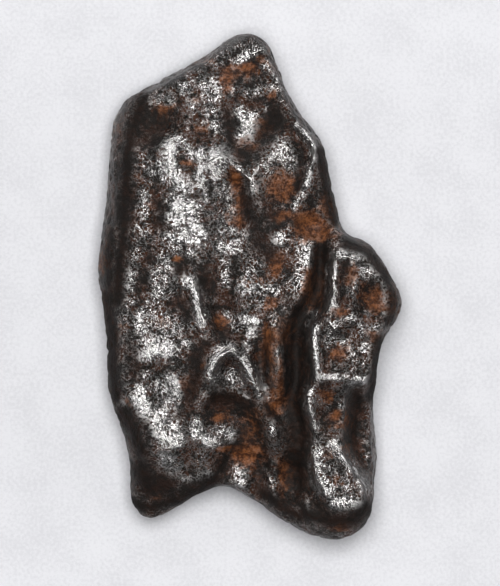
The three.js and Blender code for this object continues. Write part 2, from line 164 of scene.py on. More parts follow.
# The room: dim overhead and a little brighter low down, so that the sides aren't lost
world = bpy.data.worlds.new("studio")
bpy.context.scene.world = world
air = ShaderTree(world)
direction = air.add("ShaderNodeTexCoord", {}, {}, output="Generated")
height = air.add("ShaderNodeSeparateXYZ", {}, {"Vector": direction}, output="Z")
glow = air.ease(height, room["glowTop"], 0) * (room["horizon"] - room["overhead"]) + room["overhead"]
background = air.add("ShaderNodeBackground", {}, {"Color": rgb(*room["colour"]), "Strength": glow})
air.add("ShaderNodeOutputWorld", {}, {"Surface": background})
bpy.context.scene.view_settings.view_transform = "Standard"
print("lights ready")


# Floor: pale matt felt with a soft mottle
felt = {
    "side": 3.0,
    "pale": (0.66, 0.66, 0.685),
    "shade": (0.58, 0.58, 0.605),
    "tuft": 0.5 * mm,
    "cloud": 7 * mm,
    "tuftShare": 0.65,
    "mottleEdge": (0.34, 0.62),
    "nap": 0.05 * mm,
    "napStrength": 0.5,
    "roughness": 0.85,
}

bpy.ops.object.select_all(action="DESELECT")
bpy.ops.mesh.primitive_plane_add(size=felt["side"], location=(0, 0, 0))
floor = bpy.context.object
floor.name = "floor"


def makeFelt():
    material = bpy.data.materials.new("paleFelt")
    tree = ShaderTree(material)
    place = tree.add("ShaderNodeTexCoord", {}, {}, output="Object")
    tufts = tree.noise(place, felt["tuft"], detail=3, roughness=0.6)
    clouds = tree.noise(place, felt["cloud"], detail=2, roughness=0.5)
    mottle = tree.ease(tufts * felt["tuftShare"] + clouds * (1 - felt["tuftShare"]), *felt["mottleEdge"])
    colour = tree.blend(mottle, rgb(*felt["shade"]), rgb(*felt["pale"]))
    bump = tree.add("ShaderNodeBump", {}, {
        "Height": tufts,
        "Strength": felt["napStrength"],
        "Distance": felt["nap"],
    })
    shader = tree.add("ShaderNodeBsdfPrincipled", {}, {
        "Base Color": colour,
        "Roughness": felt["roughness"],
        "Normal": bump,
    })
    tree.add("ShaderNodeOutputMaterial", {}, {"Surface": shader})
    return material


floor.data.materials.append(makeFelt())
print("floor ready")


# The meteorite's skin. Lengths are in millimetres. A stroke is a line across the upper face: its points,
# its half width, and how far it stands up or how strong it is. A dab is a soft oval: its middle, its two
# half axes and its strength.
iron = {
    "weld": 0.001,
    "voxel": 0.24,
    "settling": {"factor": 0.5, "iterations": 6},
    "mostTriangles": 195000,
    "upwardFrom": 0.1,          # how far up a face must look to start counting as upper, and to fade in
    "upwardFade": 0.5,
    "upperFrom": 6,             # nothing lower than this counts as upper
    "rustFrom": 5,
    # painted shade is laid no lower than this
    "paintedShadeFrom": 4,
    "wander": 0.30,             # how far the crests, the blots and the brushing stray from their strokes
    "blotWander": 0.90,
    "brushWander": 0.20,
    "wanderSize": 2.2,
    "wanderStart": 31.7,
    "speck": 0.01,              # a stroke of one point is as long as this
    "crestRise": 1.3,
    "crestEdge": 1.3,
    "crestTaper": 5,            # how quickly a crest grows from its ends, and what is left of it there
    "crestEnds": 0.25,
    "proud": 0.45,              # the most that a crest stands above the solid's own top
    "octaves": 2,
    "waves": [(3.6, 7.3, 0.26), (1.9, 3.1, 0.11)],      # each layer's size, start and height
    "leastWave": 0.3,           # what a smooth place keeps of the waves
    "grit": (0.75, 11.9, 0.05),
    "crinkleSize": 1.3,
    "crinkleFall": 2.6,
    "crinkleRise": 0.05,
    "dentSize": 1.7,
    "dentStart": 21.3,
    "dentMost": 0.6,
    "dentDepth": 0.55,
    "flankSmooth": 0.35,
    "sunkRounds": 40,
    "sunkGain": 2,
    "brushReach": 1.2,
    "brushEdge": 2.0,
    "paintedShadeEdge": 2.6,
    # how much bare metal, partly wear and partly painted highlight, lies everywhere
    "highlightAndWearEverywhere": 0.08,
    "crests": [
        ("fork", [(-4.5, 19.2), (-2.7, 18.0), (-1.3, 16.9), (-0.1, 15.8), (0.1, 14.1),
                  (0.3, 12.3)], 0.5, 0.5),
        ("fork, right", [(0.1, 15.6), (1.3, 17.2), (3.0, 18.9), (4.3, 20.6)], 0.6, 0.3),
        ("shoulder rim", [(6.6, 25.1), (7.3, 23.4), (8.8, 21.9), (9.8, 20.4), (9.3, 18.6), (8.5, 16.9),
                          (8.4, 15.3), (7.5, 13.3), (6.6, 11.7)], 0.55, 0.6),
        ("shoulder rim, inner", [(7.3, 22.1), (8.4, 20.7), (8.7, 19.3), (8.1, 18.0)], 0.4, 0.3),
        ("slab edge", [(-10.2, 1.3), (-8.4, 0.0), (-7.5, -1.6), (-8.1, -2.9), (-7.5, -4.6),
                       (-6.3, -6.6)], 0.8, 0.5),
        ("hook", [(-5.8, -13.2), (-5.5, -11.7), (-4.6, -10.3), (-3.3, -9.6), (-1.8, -9.3)], 0.6, 0.7),
        ("hook, right", [(-1.3, -10.5), (-0.4, -12.0), (0.4, -13.7), (1.3, -15.4),
                         (2.2, -16.9)], 0.6, 0.5),
        ("hook, under", [(-7.5, -16.3), (-4.5, -15.6), (-1.9, -14.8)], 0.3, 0.1),
        ("hook, spur", [(-1.6, -15.8), (-0.1, -16.8)], 0.3, 0.25),
        ("finger tip", [(3.0, -16.9), (3.8, -16.8), (4.5, -16.3)], 0.4, 0.4),
        ("lobe crown, left", [(12.3, 4.3), (13.2, 4.8), (14.4, 5.0)], 0.7, 0.4),
        ("lobe crown, right", [(15.3, 4.8), (16.2, 4.6), (17.1, 4.3)], 0.7, 0.4),
        ("lobe edge", [(11.8, 2.4), (12.0, 0.6), (12.3, -1.1), (12.2, -2.4), (12.2, -3.8)], 0.45, 0.5),
        ("lobe edge, inner", [(12.6, 2.2), (12.9, 0.4), (12.6, -0.6)], 0.35, 0.2),
        ("lobe rim", [(17.1, 3.6), (18.3, 2.1), (19.9, 0.0), (21.1, -1.5), (20.7, -3.0),
                      (20.2, -4.5)], 0.6, 0.35),
        ("lobe divide", [(15.1, 0.9), (15.6, -0.9), (15.1, -2.9)], 0.5, 0.25),
        ("block, upper", [(10.0, -3.8), (11.4, -5.0), (12.4, -6.1), (13.2, -7.5)], 0.5, 0.45),
        ("block, brow", [(13.5, -5.4), (14.8, -4.5), (15.9, -5.4), (16.8, -6.9),
                         (18.0, -8.1)], 0.5, 0.35),
        ("block edge", [(9.8, -4.6), (9.0, -6.3), (9.2, -7.8), (9.6, -9.4), (9.8, -11.2),
                        (10.3, -13.3)], 0.55, 0.6),
        ("block, fold", [(10.2, -6.8), (10.9, -7.9), (12.2, -8.7)], 0.3, 0.25),
        ("block, fold 2", [(10.2, -9.4), (10.8, -10.7), (10.8, -11.7)], 0.3, 0.25),
        ("block foot", [(10.3, -13.7), (12.2, -13.8), (13.9, -13.7)], 0.6, 0.45),
        ("block foot, right", [(15.4, -14.2), (16.5, -14.7), (17.7, -14.1), (18.1, -13.0)], 0.6, 0.5),
        ("block side", [(18.3, -9.6), (18.6, -10.8), (18.4, -12.4)], 0.35, 0.3),
        ("step rim", [(9.6, -14.7), (8.5, -15.8), (8.2, -16.9), (8.5, -18.3), (9.3, -19.6),
                      (9.9, -21.3)], 0.5, 0.6),
        ("step, fold", [(9.8, -16.8), (11.1, -17.4), (12.2, -18.4)], 0.3, 0.25),
        ("foot edge", [(12.0, -22.8), (13.0, -24.3), (13.9, -25.6), (15.3, -27.4), (16.3, -28.8),
                       (16.9, -30.1), (17.2, -31.3)], 0.6, 0.6),
        ("foot, inner", [(9.0, -23.6), (9.4, -24.9), (10.0, -25.9)], 0.4, 0.3),
        ("foot, left", [(9.0, -26.4), (9.9, -28.1), (10.9, -30.0), (12.0, -31.9)], 0.7, 0.4),
        ("foot, end", [(12.2, -32.2), (13.8, -32.9), (15.4, -32.9), (17.1, -31.8)], 0.9, 0.3),
        ("pit rim", [(8.4, -31.5), (8.5, -33.1), (9.2, -34.2), (10.2, -34.6)], 0.4, 0.4),
        ("valley spur", [(2.1, -27.3), (2.7, -28.5), (3.1, -30.1), (3.9, -31.8)], 0.4, 0.4),
        ("valley lip", [(-2.7, -29.1), (-1.5, -29.8), (-0.3, -29.4)], 0.6, 0.3),
        ("tip rim", [(2.4, 35.1), (2.9, 33.3), (3.3, 31.5), (4.0, 30.1), (4.6, 28.9)], 0.45, 0.4),
        ("saddle rim", [(10.0, 12.2), (10.8, 10.8), (11.7, 9.4), (12.6, 8.5), (13.8, 7.5)], 0.6, 0.4),
        ("slab crest", [(-12.8, 21.9), (-12.4, 19.6), (-11.8, 17.1), (-11.7, 14.4)], 1.0, 0.35),
    ],
    "smooth": [
        (-3.3, 26.1, 1.2, 5.1, 0.7), (1.8, 23.1, 1.3, 3.9, 0.7), (9.9, 8.7, 3.3, 2.1, 0.75),
        (10.0, 1.6, 1.6, 5.7, 1), (7.5, 5.1, 1.2, 2.7, 0.4), (3.8, -9.6, 1.6, 6.0, 1),
        (7.0, -11.4, 1.6, 8.2, 0.9), (5.1, -18.0, 3.3, 2.1, 0.85), (0.0, -23.1, 2.7, 6.0, 0.9),
        (-1.8, -27.6, 2.4, 2.4, 0.6), (5.2, -28.3, 2.1, 3.6, 0.7), (7.0, -23.1, 1.3, 7.5, 0.8),
        (-7.5, -25.8, 1.8, 3.0, 0.7), (15.8, -21.9, 1.5, 6.6, 0.9), (13.5, -36.0, 5.1, 1.5, 0.9),
        (-15.0, -32.1, 3.6, 3.0, 0.6), (-1.3, 15.0, 1.1, 3.3, 0.8), (-0.3, 11.4, 0.9, 3.3, 0.6),
        (-3.9, -6.0, 2.1, 1.3, 0.5), (0.9, 20.1, 3.0, 1.1, 0.5), (14.8, 0.3, 1.3, 2.1, 0.4),
        (-3.0, -33.6, 7.5, 1.2, 0.6), (10.0, -32.7, 1.3, 1.8, 0.7), (1.8, -9.6, 0.9, 4.5, 0.8),
    ],
    "rusty": [
        (10.0, 0.9, 1.3, 5.1, 0.35), (-3.0, 30.9, 1.3, 2.1, 0.9), (0.0, 32.1, 2.7, 1.1, 0.7),
        (-3.3, 28.8, 1.1, 0.9, 0.6), (0.0, 21.0, 1.8, 1.2, 0.9), (1.8, 23.7, 1.8, 1.8, 0.7),
        (4.2, 15.0, 3.3, 2.4, 1), (1.8, 33.9, 1.2, 1.2, 0.7), (2.9, 28.5, 1.1, 0.9, 0.8),
        (-2.5, 15.9, 1.2, 2.7, 0.9), (-2.1, 12.0, 0.9, 1.5, 0.6), (-2.4, 9.6, 1.3, 1.2, 1),
        (5.0, 10.2, 1.6, 0.8, 0.9), (8.7, 9.6, 3.0, 2.1, 1), (11.1, 12.0, 1.3, 1.8, 0.8),
        (10.2, 7.5, 3.3, 1.1, 1), (-12.6, 26.4, 1.9, 1.3, 0.75), (-9.3, 18.3, 1.1, 0.9, 0.8),
        (-10.3, 3.9, 1.2, 0.9, 0.9), (4.0, 3.0, 1.3, 1.6, 0.95), (3.0, -2.4, 1.2, 1.1, 0.8),
        (8.8, 0.1, 0.9, 2.1, 0.5), (15.0, 0.9, 1.3, 2.1, 0.85), (18.3, -2.4, 2.1, 2.7, 0.9),
        (13.2, -4.2, 1.8, 0.9, 0.8), (13.2, -9.9, 1.6, 1.5, 0.8), (18.3, -7.3, 1.2, 0.8, 0.9),
        (3.3, -9.0, 1.8, 3.9, 1), (4.0, -14.7, 1.3, 2.4, 1), (8.5, 0.9, 1.1, 2.1, 0.8),
        (9.3, -2.1, 1.2, 1.3, 0.8), (6.9, -8.1, 0.9, 4.5, 0.5), (5.1, -6.0, 1.1, 1.5, 0.5),
        (-4.2, -5.5, 1.6, 0.9, 0.9), (11.4, -16.5, 1.1, 1.1, 0.8), (13.3, -18.6, 1.1, 0.6, 0.9),
        (13.5, -20.2, 1.3, 0.9, 0.9), (15.9, -20.8, 0.8, 1.2, 0.6), (3.8, -17.7, 3.0, 1.5, 0.75),
        (0.4, -20.8, 1.6, 2.7, 0.7), (-0.3, -25.3, 2.1, 2.4, 0.9), (5.0, -28.3, 1.6, 2.7, 0.95),
        (-4.2, -19.5, 1.6, 1.1, 0.8), (-3.6, -24.1, 1.6, 0.6, 0.8), (-14.1, -31.6, 1.5, 0.6, 0.7),
        (13.0, -36.1, 1.3, 0.6, 1), (14.2, -24.0, 0.8, 0.8, 0.7), (-13.2, -5.4, 2.7, 0.8, 0.5),
        (-9.8, -14.4, 1.2, 1.1, 0.7), (-7.3, -11.7, 0.6, 0.8, 0.8), (-18.0, -17.1, 0.6, 0.6, 0.8),
        (-19.3, -6.0, 1.1, 0.8, 0.7), (-21.8, 3.6, 0.9, 3.6, 0.6), (-19.9, 23.7, 0.6, 2.7, 0.5),
        (-15.9, -19.3, 1.5, 0.8, 0.3), (-5.7, -20.1, 3.0, 1.5, 0.4), (-16.5, 15.9, 1.2, 2.1, 0.35),
        (-15.0, 12.2, 1.5, 1.8, 0.35), (-6.8, 23.4, 1.8, 1.2, 0.5), (-8.1, 27.9, 1.2, 0.9, 0.4),
        (-4.2, 18.9, 1.2, 0.8, 0.3), (-0.3, 0.6, 1.5, 1.2, 0.4), (1.8, 1.5, 1.5, 1.5, 0.5),
        (21.0, -2.1, 0.8, 1.5, 0.6), (12.6, -28.8, 1.5, 2.1, 0.4), (12.0, -25.3, 1.5, 1.5, 0.4),
        (15.3, 4.5, 0.9, 0.6, 0.6), (-21.8, -3.6, 1.2, 3.0, 0.3), (-6.8, 33.6, 3.0, 0.8, 0.35),
        (0.0, -32.1, 2.4, 0.9, 0.3), (-15.0, 7.6, 1.3, 1.5, 0.3), (-11.2, -2.1, 1.8, 1.2, 0.3),
    ],
    # Strokes of bare metal: partly real wear on the crests, partly painted highlight laid where the lamps
    # glint
    "highlightAndWearStrokes": [
        ([(-14.4, 27.3), (-11.9, 27.3)], 0.9, 0.38), ([(-12.9, 27.0)], 0.4, 0.54),
        ([(-9.7, 29.4)], 0.9, 0.58), ([(-6.8, 29.7), (-5.5, 30.0), (-5.6, 28.5), (-6.7, 27.9)], 1.1, 0.5),
        ([(-8.9, 27.0), (-6.8, 27.3)], 0.9, 0.38), ([(-5.9, 25.8)], 1.1, 0.38), ([(-5.5, 23.6)], 0.9, 0.65),
        ([(-7.0, 24.1)], 0.6, 0.46),
        ([(-11.9, 21.2), (-12.0, 19.3), (-11.7, 17.2), (-10.7, 15.6), (-9.5, 15.0)], 0.9, 0.92),
        ([(-12.2, 21.5), (-11.0, 22.1), (-9.8, 21.4), (-8.9, 20.2), (-8.6, 18.7)], 0.5, 0.65),
        ([(-13.2, 17.8), (-12.8, 16.0)], 0.8, 0.58), ([(-7.3, 19.5), (-7.3, 14.9)], 0.8, 0.88),
        ([(-5.0, 19.8), (-5.3, 16.9)], 0.9, 0.77), ([(-4.0, 19.9), (-5.0, 16.0)], 1.2, 0.62),
        ([(-6.5, 18.0)], 1.2, 0.65), ([(-10.7, 14.3), (-8.9, 14.3)], 0.8, 0.62),
        ([(-10.7, 20.5)], 0.6, 0.35), ([(-10.5, 12.5), (-10.2, 9.8), (-11.1, 10.2)], 1.2, 0.92),
        ([(-8.9, 11.9), (-8.6, 9.8), (-7.7, 7.9)], 1.0, 0.88), ([(-9.8, 8.2)], 0.9, 0.85),
        ([(-7.7, 11.7)], 0.8, 0.62), ([(-11.6, 7.1), (-7.4, 6.8)], 0.9, 0.58), ([(-8.9, 5.0)], 0.8, 0.62),
        ([(-11.0, 5.5)], 1.1, 0.65), ([(-14.4, 16.8)], 1.1, 0.38),
        ([(-15.9, 13.7), (-15.7, 10.7)], 0.9, 0.5), ([(-16.6, 8.6)], 0.6, 0.54),
        ([(-16.2, 5.9), (-16.8, 4.2)], 1.1, 0.27), ([(-17.7, 1.8), (-18.0, -0.3)], 0.8, 0.48),
        ([(-15.4, 8.0)], 1.1, 0.31), ([(-17.5, -2.1)], 0.8, 0.42), ([(-15.3, 18.4)], 0.9, 0.27),
        ([(-13.4, 10.5)], 1.2, 0.19), ([(-3.1, 14.6), (-2.8, 11.0), (-2.8, 8.3)], 0.8, 0.73),
        ([(-4.2, 13.4)], 0.5, 0.58), ([(-6.7, 14.3), (-6.5, 12.8)], 0.6, 0.46),
        ([(-4.0, 10.7), (-4.2, 8.0)], 0.8, 0.54), ([(-1.0, 7.6)], 0.8, 0.5),
        ([(-4.3, 5.8), (-2.1, 5.8)], 1.1, 0.77), ([(-3.7, 3.6), (-3.7, 0.7)], 0.9, 0.6),
        ([(-0.4, 1.8)], 0.6, 0.46), ([(-2.7, 8.6)], 0.9, 0.38), ([(-5.6, -2.1)], 0.8, 0.32),
        ([(-12.8, 4.3), (-12.2, 3.1)], 0.9, 0.54), ([(-14.0, 2.2), (-14.0, 0.3)], 0.9, 0.42),
        ([(-12.2, 1.0)], 1.3, 0.35),
        ([(-9.2, 0.7), (-8.2, -0.1), (-7.4, -1.6), (-7.4, -3.3), (-7.0, -4.9)], 0.8, 1),
        ([(-13.5, -1.0)], 1.1, 0.69), ([(-11.9, -0.7), (-14.4, -2.4)], 1.2, 0.38),
        ([(-1.6, 26.1), (-1.0, 25.2)], 0.9, 0.85), ([(-0.1, 24.8), (-0.3, 23.5), (-0.7, 22.0)], 1.1, 1.15),
        ([(0.4, 34.8), (-0.4, 34.5), (-1.8, 33.3)], 0.6, 0.88), ([(-2.4, 32.5)], 0.5, 0.62),
        ([(-2.7, 28.8)], 0.8, 0.38), ([(-0.4, 28.8)], 0.8, 0.38), ([(-2.8, 19.0), (-1.5, 17.2)], 0.5, 0.62),
        ([(-0.4, 16.0), (0.1, 14.0)], 0.6, 0.88), ([(2.4, 32.7)], 0.8, 0.62),
        ([(1.2, 29.0), (3.3, 29.1)], 0.8, 0.5), ([(3.9, 31.2), (4.8, 29.4)], 0.6, 0.46),
        ([(2.4, 26.4)], 0.5, 0.69), ([(1.8, 35.3)], 0.8, 0.31), ([(7.0, 23.8)], 0.5, 1),
        ([(7.9, 22.6), (9.5, 21.1), (9.7, 19.2)], 0.7, 1), ([(8.8, 18.1), (8.5, 15.4)], 0.5, 0.73),
        ([(8.5, 15.3)], 0.5, 0.77), ([(7.9, 13.7), (6.7, 11.9)], 0.5, 0.62),
        ([(4.5, 20.8), (5.3, 19.0), (3.9, 18.9)], 1.1, 0.58), ([(1.8, 17.5), (0.3, 16.2)], 0.8, 0.38),
        ([(3.0, 16.9)], 1.2, 0.77), ([(4.5, 14.7)], 0.9, 0.46), ([(1.8, 15.1), (5.6, 17.2)], 1.8, 0.48),
        ([(4.3, 7.1)], 0.8, 1.23), ([(10.0, 11.0), (11.4, 9.4)], 0.6, 0.5), ([(12.6, 8.2)], 0.8, 0.38),
        ([(9.2, 7.7)], 1.2, 0.31), ([(0.9, 12.0)], 0.6, 0.31), ([(8.0, 5.9), (8.0, 3.9)], 1.2, 0.65),
        ([(7.4, 2.7), (7.4, 0.3)], 0.8, 0.58), ([(12.3, 4.6), (14.0, 4.6)], 0.6, 1.04),
        ([(15.3, 4.5), (16.9, 4.5)], 0.6, 0.96), ([(12.0, 2.7), (12.0, -2.4)], 0.7, 1.04),
        ([(12.2, -3.1)], 0.8, 1.04), ([(15.0, 1.2), (15.0, -0.9)], 0.9, 0.46), ([(17.4, 2.1)], 1.1, 0.69),
        ([(18.7, 1.5)], 0.9, 0.5), ([(20.2, 0.3), (19.6, -2.4)], 0.8, 0.48), ([(13.4, -0.6)], 0.9, 0.23),
        ([(-16.0, -4.2), (-16.6, -5.8), (-15.6, -6.8)], 0.8, 0.69), ([(-12.6, -5.3)], 0.9, 0.65),
        ([(-14.9, -4.8), (-11.6, -5.9)], 1.6, 0.48),
        ([(-15.3, -10.2), (-14.4, -9.1), (-12.2, -9.2)], 1.1, 0.96),
        ([(-14.9, -8.3), (-12.6, -8.0)], 1.2, 0.65), ([(-9.5, -8.6)], 0.8, 0.46),
        ([(-10.7, -9.5)], 1.1, 0.31), ([(-19.5, -5.9)], 0.6, 0.38),
        ([(-3.3, -4.5), (-1.8, -6.2)], 0.9, 0.54), ([(-8.6, -5.9)], 0.8, 0.31),
        ([(-16.3, -15.6), (-16.2, -17.4), (-15.1, -18.7)], 1.0, 1), ([(-13.8, -14.6)], 1.3, 0.58),
        ([(-15.4, -13.2)], 1.1, 0.5),
        ([(-11.9, -13.7), (-10.8, -14.6), (-10.8, -16.2), (-12.2, -17.2)], 0.7, 0.81),
        ([(-12.9, -18.4), (-13.7, -19.9), (-13.4, -21.7), (-12.2, -22.9), (-10.8, -22.9)], 0.9, 1),
        ([(-11.4, -21.1)], 0.9, 0.81), ([(-14.4, -18.4)], 1.1, 0.54),
        ([(-12.6, -15.4), (-12.6, -21.4)], 1.8, 0.46), ([(-18.7, -17.2)], 0.6, 0.69),
        ([(-17.1, -16.6)], 0.9, 0.54),
        ([(-5.3, -13.2), (-5.2, -11.4), (-4.6, -10.2), (-3.3, -9.5)], 0.9, 1.15),
        ([(-3.0, -9.4)], 0.4, 0.69), ([(-0.9, -11.3)], 0.9, 0.69),
        ([(0.1, -12.2), (1.2, -14.3), (2.2, -16.3)], 0.8, 1.15), ([(-2.7, -13.4)], 1.3, 0.73),
        ([(-1.8, -11.6), (-1.2, -13.7)], 0.9, 0.65), ([(2.4, -9.8), (2.5, -12.5)], 0.4, 0.38),
        ([(-7.1, -16.0), (-4.5, -15.4), (-1.9, -14.9)], 0.3, 0.23),
        ([(-1.6, -15.6), (-0.1, -16.6)], 0.3, 0.46), ([(-7.9, -20.3), (-7.9, -22.0)], 0.8, 0.96),
        ([(-7.4, -18.1)], 0.6, 0.35), ([(-6.2, -22.9), (-4.9, -23.3)], 0.8, 0.92),
        ([(-4.2, -21.4)], 0.9, 0.55), ([(-3.1, -22.3)], 0.9, 0.92), ([(-5.6, -21.1)], 1.2, 0.38),
        ([(-12.9, -25.1)], 0.6, 0.46), ([(-12.3, -26.3)], 1.2, 0.62), ([(-11.3, -27.5)], 1.1, 0.46),
        ([(-10.4, -26.9)], 0.9, 0.5), ([(-7.7, -25.5)], 1.2, 0.27),
        ([(-9.7, -28.8), (-7.7, -28.5), (-5.9, -27.8)], 0.5, 0.42),
        ([(-1.8, -27.0), (-1.8, -28.8)], 0.8, 0.54), ([(-1.5, -29.3)], 0.8, 0.85),
        ([(-1.5, -4.8), (-0.3, -5.2), (1.0, -5.3)], 0.6, 1), ([(0.3, -6.7)], 0.9, 0.71),
        ([(-0.7, 0.0)], 1.1, 0.62), ([(1.8, -0.3)], 1.8, 0.45), ([(3.6, -0.6)], 0.7, 0.69),
        ([(2.1, -2.4), (3.0, -3.1)], 0.8, 0.38), ([(0.9, 2.7)], 1.2, 0.38), ([(3.6, -4.2)], 0.8, 0.23),
        ([(-0.3, -8.9), (-0.4, -10.4)], 0.9, 0.42), ([(3.6, -5.9)], 0.8, 0.35),
        ([(3.6, -8.6), (3.9, -11.0), (3.6, -14.9)], 0.5, 0.48), ([(3.6, -16.5)], 0.6, 0.35),
        ([(3.3, -19.9), (3.3, -21.7)], 0.6, 0.46), ([(4.9, -17.8)], 1.1, 0.23), ([(4.2, -24.1)], 1.1, 0.25),
        ([(4.2, -29.4)], 1.1, 0.46), ([(4.0, -31.2)], 0.6, 0.31), ([(2.4, -27.3)], 0.6, 0.23),
        ([(9.5, -4.0), (9.4, -5.3)], 0.7, 0.69), ([(9.1, -6.1), (9.2, -7.9)], 0.7, 0.92),
        ([(9.5, -8.8), (9.7, -12.6)], 0.6, 0.85), ([(12.0, -7.0)], 1.1, 0.54), ([(10.2, -13.4)], 0.6, 0.77),
        ([(12.2, -6.2)], 0.9, 0.73), ([(11.9, -8.2)], 1.2, 0.54), ([(13.8, -8.3), (15.1, -9.7)], 0.9, 0.52),
        ([(13.7, -5.0)], 0.8, 0.31), ([(15.1, -4.8)], 0.8, 0.5), ([(11.0, -13.4), (13.7, -13.5)], 0.5, 0.58),
        ([(15.3, -14.4), (17.2, -14.0)], 0.6, 1), ([(16.9, -9.2)], 0.8, 0.77),
        ([(16.2, -5.9), (16.3, -7.4)], 0.4, 0.54), ([(18.3, -6.2)], 0.9, 0.48), ([(17.5, -3.7)], 0.8, 0.54),
        ([(20.0, -4.0)], 0.6, 0.38), ([(14.1, -6.5), (14.1, -11.0)], 3.0, 0.23),
        ([(8.8, -15.3), (8.2, -16.5), (8.3, -18.3)], 0.6, 0.88), ([(9.1, -19.0), (9.7, -20.8)], 0.6, 0.77),
        ([(10.1, -17.2)], 0.9, 0.46), ([(11.6, -17.8)], 0.8, 0.38), ([(13.7, -17.8)], 0.7, 0.54),
        ([(12.8, -16.5)], 0.6, 0.38), ([(13.8, -19.8)], 0.6, 0.35), ([(11.1, -19.6)], 1.3, 0.15),
        ([(9.1, -23.0)], 0.8, 0.38), ([(12.3, -23.6), (13.1, -24.8)], 0.8, 0.85),
        ([(10.0, -24.7), (9.5, -26.7), (9.7, -29.1), (10.2, -30.3)], 0.7, 1.04),
        ([(10.5, -25.8)], 0.9, 0.46), ([(9.2, -27.5), (10.5, -27.9)], 0.6, 0.73),
        ([(10.4, -29.1), (11.7, -30.3)], 0.8, 0.81),
        ([(13.7, -25.4), (15.1, -26.6), (16.5, -28.1), (17.4, -30.0)], 0.7, 1.15),
        ([(12.3, -32.1), (14.1, -31.9), (16.0, -32.2)], 0.7, 0.85),
        ([(11.6, -26.3), (13.7, -29.4)], 1.3, 0.32), ([(14.1, -29.9)], 0.9, 0.42),
        ([(8.5, -31.8), (8.5, -33.7)], 0.4, 0.38),
    ],
    # Painted shade: near black-brown laid along the grooves, the valleys, the inner band of the rims and the
    # lower flanks, where shade falls; these places are also dulled so that they mirror nothing
    "paintedShadeStrokes": [
        ([(-16.0, 27.3), (-17.7, 22.4), (-18.4, 18.0), (-18.3, 15.7), (-18.6, 12.0), (-18.7, 8.3),
          (-19.2, 3.9), (-19.8, -2.1)], 1.1, 1),
        ([(-20.5, 8.0), (-20.9, 3.6), (-20.8, -2.1)], 0.8, 0.9),
        ([(-21.2, -1.5), (-20.5, -6.5), (-20.2, -13.2), (-19.8, -16.6)], 1.0, 1),
        ([(-18.7, -18.7), (-17.1, -21.4), (-16.0, -24.4)], 1.3, 1),
        ([(-16.0, -27.3), (-14.9, -30.3), (-12.5, -29.7)], 1.9, 1),
        ([(-13.4, -32.1), (-9.7, -30.6), (-6.7, -29.1)], 1.2, 0.9),
        ([(-5.2, -16.2), (-2.2, -16.9), (0.0, -17.7)], 1.2, 0.9),
        ([(-7.7, -9.5), (-7.9, -13.2), (-8.9, -16.2)], 0.9, 0.9), ([(-6.7, -8.8)], 0.8, 0.8),
        ([(7.1, -3.9), (6.8, -8.8), (6.5, -16.9), (7.1, -22.9), (6.8, -28.8)], 1.3, 1),
        ([(1.8, -18.7), (0.0, -22.9)], 0.9, 0.6), ([(2.1, -8.8), (2.1, -14.7)], 0.6, 0.8),
        ([(10.7, 5.3), (10.2, 1.6), (9.4, -2.1)], 1.1, 1),
        ([(-0.3, 12.8), (0.9, 9.1), (1.2, 6.1), (3.0, 4.6)], 1.2, 0.9),
        ([(8.2, -33.6), (11.9, -34.8), (14.9, -34.8), (17.2, -33.0)], 1.3, 1), ([(-4.2, -27.0)], 0.9, 0.9),
        ([(-0.7, -21.4), (-2.1, -23.8)], 0.8, 0.7), ([(-10.0, -18.7)], 0.9, 0.8),
        ([(7.4, 18.4), (7.0, 14.3)], 0.4, 0.8), ([(3.6, 25.2), (1.8, 22.3)], 1.2, 0.9),
        ([(-1.5, 19.5), (1.2, 20.2)], 0.9, 0.7), ([(-3.4, 25.8), (-2.8, 21.4)], 0.6, 0.8),
        ([(-13.4, 12.0), (-13.1, 8.9)], 0.8, 0.7), ([(-13.4, 24.7), (-14.9, 21.7)], 1.2, 0.5),
        ([(-7.0, 2.4), (-6.2, -0.6)], 0.9, 0.7), ([(-10.4, -2.5), (-9.4, -4.2)], 0.8, 0.7),
        ([(-15.6, 0.6)], 0.6, 0.8), ([(-14.6, 4.2)], 0.6, 0.6), ([(15.6, -16.3), (15.1, -22.9)], 1.1, 0.8),
        ([(14.1, 3.0)], 0.6, 0.6), ([(1.2, 16.5), (1.8, 12.8)], 0.6, 0.3),
        ([(-17.8, -8.8), (-17.1, -12.5)], 0.9, 0.6), ([(3.0, -26.6), (4.8, -27.3)], 0.8, 0.4),
        ([(-0.7, 20.2), (-3.7, 20.2)], 0.8, 0.5), ([(6.2, -2.1), (4.8, -8.8)], 0.8, 0.6),
        ([(3.0, 21.7), (2.1, 23.5)], 0.8, 0.8), ([(0.7, 10.5), (7.4, 9.5)], 0.8, 0.4),
        ([(-4.9, -7.7), (-3.6, -7.0)], 0.8, 0.3), ([(1.8, 10.5), (2.7, 6.1)], 1.1, 0.5),
        ([(1.9, -17.5), (3.0, -19.6)], 0.7, 0.8), ([(-10.5, 2.2)], 0.8, 1),
        ([(10.4, 19.9), (11.1, 15.0), (12.3, 9.5)], 0.8, 1),
        ([(14.1, 6.2), (17.4, 4.8), (19.9, 1.5), (21.2, -1.8), (20.5, -5.0)], 0.8, 0.9),
        ([(19.0, -8.0), (18.4, -14.0), (17.8, -16.6)], 0.8, 1),
        ([(-19.0, -31.8), (-14.9, -33.0), (-11.0, -31.8), (-7.4, -30.0), (-5.0, -28.5)], 0.9, 1),
        ([(1.8, -30.6), (5.2, -33.0), (7.4, -34.2)], 0.9, 1), ([(-15.6, -20.5), (-15.0, -22.6)], 0.8, 0.7),
    ],
    # Painted sheen: light grey reflections of the floor laid along the outer rims
    "paintedSheenStrokes": [
        ([(-15.1, 29.1), (-12.5, 30.7), (-8.9, 32.7)], 0.4, 0.69),
        ([(-7.4, 33.3), (-3.7, 35.8), (-1.5, 37.1)], 0.5, 0.62),
        ([(-19.9, 26.1), (-20.8, 22.4), (-21.1, 19.0)], 0.5, 1), ([(-21.4, 15.7), (-21.8, 11.3)], 0.4, 0.5),
        ([(18.7, -20.6), (19.0, -27.3)], 0.4, 0.62),
    ],
}


